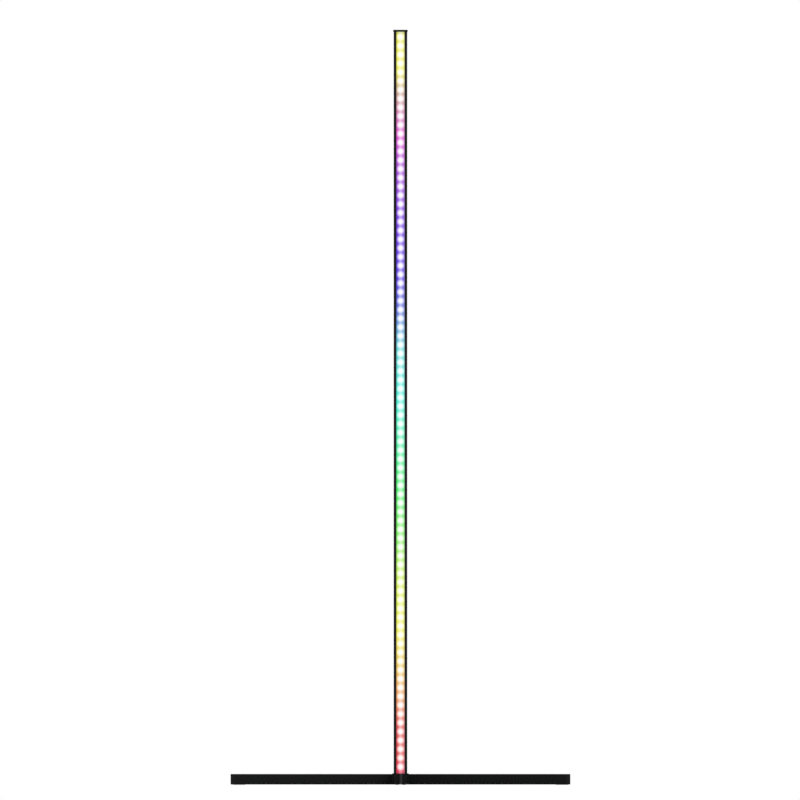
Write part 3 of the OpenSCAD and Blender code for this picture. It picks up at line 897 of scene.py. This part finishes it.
def wire_red():
    """Insulation of the positive supply wire."""
    return insulation("wire_red", (0.34, 0.012, 0.012), (0.46, 0.022, 0.02))


def wire_black():
    """Insulation of the negative supply wire."""
    return insulation("wire_black", (0.010, 0.010, 0.010), (0.018, 0.018, 0.018))


def lead_white():
    """Insulation of the leads from the control board to the tape."""
    return insulation("lead_white", (0.66, 0.66, 0.63), (0.76, 0.76, 0.73))


# ---- Finishing the CAD nodes ----

FINISHES = {make.__name__: make for make in (
    pole_anodised, bare_aluminium, black_screws, diffuser_milk, tape_white, package_white,
    lens_yellow, capacitor_tan, cap_black, hub_black, leg_black, foot_rubber, inlet_black,
    contact_nickel, board_green, chip_black, wire_red, wire_black, lead_white,
)}


def finish_for(slot):
    """The material of a slot, made the first time it is asked for."""
    if slot not in finish_for.made:
        finish_for.made[slot] = FINISHES[slot]()
    return finish_for.made[slot]


finish_for.made = {}


def smoothing():
    """Geometry nodes that shade gently across shallow edges and keep steep ones crisp."""
    if "smoothing" in bpy.data.node_groups:
        return bpy.data.node_groups["smoothing"]
    group = bpy.data.node_groups.new("smoothing", "GeometryNodeTree")
    for way in ("INPUT", "OUTPUT"):
        group.interface.new_socket("Geometry", in_out=way, socket_type="NodeSocketGeometry")
    start = group.nodes.new("NodeGroupInput")
    faces = group.nodes.new("GeometryNodeSetShadeSmooth")
    edges = group.nodes.new("GeometryNodeSetShadeSmooth")
    edges.domain = "EDGE"
    angle = group.nodes.new("GeometryNodeInputMeshEdgeAngle")
    shallow = group.nodes.new("FunctionNodeCompare")
    shallow.operation = "LESS_THAN"
    shallow.inputs["B"].default_value = CRISP_ANGLE
    end = group.nodes.new("NodeGroupOutput")
    for source, target in (
        (start.outputs[0], faces.inputs["Geometry"]),
        (faces.outputs[0], edges.inputs["Geometry"]),
        (angle.outputs["Unsigned Angle"], shallow.inputs["A"]),
        (shallow.outputs[0], edges.inputs["Shade Smooth"]),
        (edges.outputs[0], end.inputs[0]),
    ):
        group.links.new(source, target)
    return group


def dress(*names, edge=0.0, weld_gap=WELD_GAP, clamp=True):
    """Gives each CAD node the finish of its slot and, if edge isn't 0, rounds its sharp edges.

    Points closer than weld_gap become one, because a tiny edge would hold back all the rounding.
    clamp keeps the rounding of one edge off the next.
    """
    for name in names:
        node = NODES[name]
        node.material_slots[0].material = finish_for(SLOT_OF[name])
        if not edge:
            continue
        weld = node.modifiers.new("weld", "WELD")
        weld.merge_threshold = weld_gap
        flats = node.modifiers.new("flats", "DECIMATE")
        flats.decimate_type = "DISSOLVE"
        flats.angle_limit = FLAT_ANGLE
        bevel = node.modifiers.new("edges", "BEVEL")
        bevel.width = edge
        bevel.segments = EDGE_STEPS
        bevel.use_clamp_overlap = clamp
        bevel.limit_method = "ANGLE"
        bevel.angle_limit = SHARP_ANGLE
        node.modifiers.new("smoothing", "NODES").node_group = smoothing()
        normals = node.modifiers.new("normals", "WEIGHTED_NORMAL")
        normals.keep_sharp = True


# ---- Operators ----

class LAMP_OT_stage(bpy.types.Operator):
    """Set the camera, the pale floor, the background and the soft lights"""

    bl_idname = "corner_lamp.stage"
    bl_label = "Stage"

    def camera(self, context):
        """A level camera without perspective, which frames the lamp as the photograph does."""
        view = context.scene.lamp_view
        data = bpy.data.cameras.new("photo_camera")
        data.type = "ORTHO"
        data.ortho_scale = view.image_size * view.pixel
        data.clip_end = CAMERA_REACH
        camera = bpy.data.objects.new("photo_camera", data)
        context.scene.collection.objects.link(camera)
        middle = view.image_size / 2
        camera.location = (
            (middle - view.axis_column) * view.pixel,
            -view.distance,
            (view.floor_row - middle) * view.pixel,
        )
        camera.rotation_euler = (radians(90), 0, 0)
        context.scene.camera = camera

    def world(self, context):
        """Soft light from all round, which shows as a white background."""
        studio = context.scene.lamp_studio
        world = bpy.data.worlds.new("studio")
        context.scene.world = world
        world.use_nodes = True
        tree = world.node_tree
        level = tree.nodes.new("ShaderNodeMapRange")
        level.inputs["To Min"].default_value = studio.ambient
        level.inputs["To Max"].default_value = studio.background
        tree.links.new(seen_ray(tree), level.inputs["Value"])
        background = tree.nodes["Background"]
        tree.links.new(level.outputs["Result"], background.inputs["Strength"])
        background.inputs["Color"].default_value = (*WHITE, 1)

    def floor(self, context):
        """A pale floor that fades into the white background, and can be seen through from below."""
        studio = context.scene.lamp_studio
        half = studio.floor_size / 2
        corners = [(-half, -half), (half, -half), (half, half), (-half, half)]
        mesh = bpy.data.meshes.new("studio_floor")
        mesh.from_pydata([(x, y, FLOOR_Z) for x, y in corners], [], [(0, 1, 2, 3)])
        floor = bpy.data.objects.new("studio_floor", mesh)
        context.scene.collection.objects.link(floor)
        finish = Finish("studio_floor")
        tone = tuple(studio.floor_colour)
        cloud = finish.noise(FLOOR_CLOUD, detail=4.0)
        paint = finish.mix(finish.range(cloud, 0.2, 0.8), shade(tone, 0.985), shade(tone, 1.015))
        away = finish.vector("LENGTH", {0: finish.place})["Value"]
        fade = finish.product(finish.range(
            away, studio.floor_near, studio.floor_far, interpolation_type="SMOOTHERSTEP",
        ), seen_ray(finish.tree))
        below = finish.add("ShaderNodeNewGeometry").outputs["Backfacing"]
        finish.set(
            colour=finish.mix(fade, paint, BLACK), rough=0.75, specular=0.0,
            glow=(*WHITE, 1), glow_strength=finish.product(fade, studio.background),
            alpha=finish.maths("SUBTRACT", 1.0, below))
        mesh.materials.append(finish.material)

    def softbox(self, context, name, power, place, width, height):
        """A rectangular light, aimed at the middle of the pole."""
        data = bpy.data.lights.new(name, "AREA")
        data.shape = "RECTANGLE"
        data.size = width
        data.size_y = height
        data.energy = power
        light = bpy.data.objects.new(name, data)
        context.scene.collection.objects.link(light)
        light.location = place
        aim = Vector((0, 0, CAD_BOX[1][2] / 2)) - Vector(place)
        light.rotation_euler = aim.to_track_quat("-Z", "Y").to_euler()

    def execute(self, context):
        self.camera(context)
        self.world(context)
        self.floor(context)
        context.scene.view_settings.view_transform = "Standard"
        for name, power, *shape in SOFTBOXES:
            self.softbox(context, name, getattr(context.scene.lamp_studio, power), *shape)
        return {"FINISHED"}


class LAMP_OT_pole(bpy.types.Operator):
    """Finish the three lengths of the pole, and the bars and screws inside that join them"""

    bl_idname = "corner_lamp.pole"
    bl_label = "Pole"

    def execute(self, context):
        dress(
            "pole_section_lower", "pole_section_middle", "pole_section_upper",
            edge=EXTRUDED_EDGE, clamp=False)
        dress("pole_joiner_lower", "pole_joiner_upper", "pole_anchor", "joiner_screws")
        dress("top_cap", edge=BROAD_EDGE, clamp=False)
        return {"FINISHED"}


class LAMP_OT_light_line(bpy.types.Operator):
    """Finish the tape, its lights, the milky cover over them and the foot cover below it"""

    bl_idname = "corner_lamp.light_line"
    bl_label = "Light line"

    def execute(self, context):
        dress("light_tape", "light_packages", "package_lenses", "tape_capacitors")
        dress("diffuser")
        dress("channel_foot_cover", edge=EXTRUDED_EDGE)
        return {"FINISHED"}


class LAMP_OT_base(bpy.types.Operator):
    """Finish the hub, the legs and what they stand on"""

    bl_idname = "corner_lamp.base"
    bl_label = "Base"

    def execute(self, context):
        dress("hub_body", edge=BROAD_EDGE, weld_gap=HUB_WELD_GAP)
        dress("hub_bottom_plate", edge=MOULDED_EDGE)
        dress("leg_tube_left", "leg_tube_right", edge=BROAD_EDGE)
        dress("leg_plug_left", "leg_plug_right", edge=MOULDED_EDGE)
        dress("foot_pad_hub", "foot_pad_left", "foot_pad_right", edge=PAD_EDGE)
        return {"FINISHED"}


class LAMP_OT_fasteners(bpy.types.Operator):
    """Finish the screws that show on the hub and the legs"""

    bl_idname = "corner_lamp.fasteners"
    bl_label = "Fasteners"

    def execute(self, context):
        dress("leg_screws", "pole_screws", "hub_plate_screws", edge=SCREW_EDGE)
        return {"FINISHED"}


class LAMP_OT_power(bpy.types.Operator):
    """Finish the inlet, the control board and the wires, and add the inlet's spring contact"""

    bl_idname = "corner_lamp.power"
    bl_label = "Power"

    def contact_leaf(self, context):
        """A bowed strip from the bore's floor that touches its wall again near the mouth."""
        inlet = context.scene.lamp_inlet
        root_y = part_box("inlet_housing")[1].y - BORE_DEPTH - LEAF_ROOT
        radius = BORE_RADIUS - inlet.leaf_thickness / 2
        half_turn = inlet.leaf_width / 2 / BORE_RADIUS
        turns = [half_turn * (2 * i / LEAF_ACROSS - 1) for i in range(LEAF_ACROSS + 1)]
        made = bmesh.new()
        rows = []
        for step in range(LEAF_STEPS + 1):
            share = step / LEAF_STEPS
            y = root_y + share * inlet.leaf_length
            reach = radius - inlet.leaf_rise * sin(pi * share) ** 2
            rows.append([
                made.verts.new((reach * sin(turn), y, BORE_Z - reach * cos(turn)))
                for turn in turns])
        for row, further in zip(rows, rows[1:]):
            for i in range(LEAF_ACROSS):
                face = made.faces.new((row[i], row[i + 1], further[i + 1], further[i]))
                face.smooth = True
        mesh = bpy.data.meshes.new("inlet_contact_leaf")
        made.to_mesh(mesh)
        made.free()
        mesh.materials.append(finish_for("contact_nickel"))
        leaf = bpy.data.objects.new("inlet_contact_leaf", mesh)
        context.scene.collection.objects.link(leaf)
        solid = leaf.modifiers.new("thickness", "SOLIDIFY")
        solid.thickness = inlet.leaf_thickness
        solid.offset = 0
        rounded = leaf.modifiers.new("edges", "BEVEL")
        rounded.width = inlet.leaf_thickness / LEAF_EDGE_PART
        rounded.segments = LEAF_EDGE_STEPS
        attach(leaf, "root")

    def execute(self, context):
        self.contact_leaf(context)
        dress("inlet_housing", edge=MOULDED_EDGE)
        dress("inlet_pin", "inlet_terminals")
        dress("control_board", "board_parts")
        dress("supply_wire_positive", "supply_wire_negative", "tape_leads")
        return {"FINISHED"}


class LAMP_PT_lamp(bpy.types.Panel):
    """Builds the lamp piece by piece"""

    bl_label = "Corner Floor Lamp"
    bl_space_type = "VIEW_3D"
    bl_region_type = "UI"
    bl_category = "Corner Lamp"

    def draw(self, context):
        for step in STEPS:
            self.layout.operator(step.bl_idname)
        for group in SETTINGS:
            box = self.layout.box()
            box.label(text=group.__doc__)
            for prop in group.__annotations__:
                box.prop(getattr(context.scene, SETTINGS[group]), prop)


SETTINGS = {
    PhotoViewSettings: "lamp_view",
    StudioSettings: "lamp_studio",
    LightLineSettings: "lamp_line",
    InletSettings: "lamp_inlet",
    FinishSettings: "lamp_finish",
}
STEPS = (
    LAMP_OT_stage, LAMP_OT_pole, LAMP_OT_light_line,
    LAMP_OT_base, LAMP_OT_fasteners, LAMP_OT_power,
)


def register():
    """Adds the settings, the operators and the panel."""
    for group, name in SETTINGS.items():
        bpy.utils.register_class(group)
        setattr(bpy.types.Scene, name, PointerProperty(type=group))
    for made in (*STEPS, LAMP_PT_lamp):
        bpy.utils.register_class(made)


def unregister():
    """Takes them out again, the last one first."""
    for made in (LAMP_PT_lamp, *reversed(STEPS)):
        bpy.utils.unregister_class(made)
    for group, name in reversed(SETTINGS.items()):
        delattr(bpy.types.Scene, name)
        bpy.utils.unregister_class(group)


def main():
    """Sets the stage and finishes each group of pieces."""
    register()
    for step in STEPS:
        group, name = step.bl_idname.split(".")
        getattr(getattr(bpy.ops, group), name)()


if __name__ == "__main__":
    main()
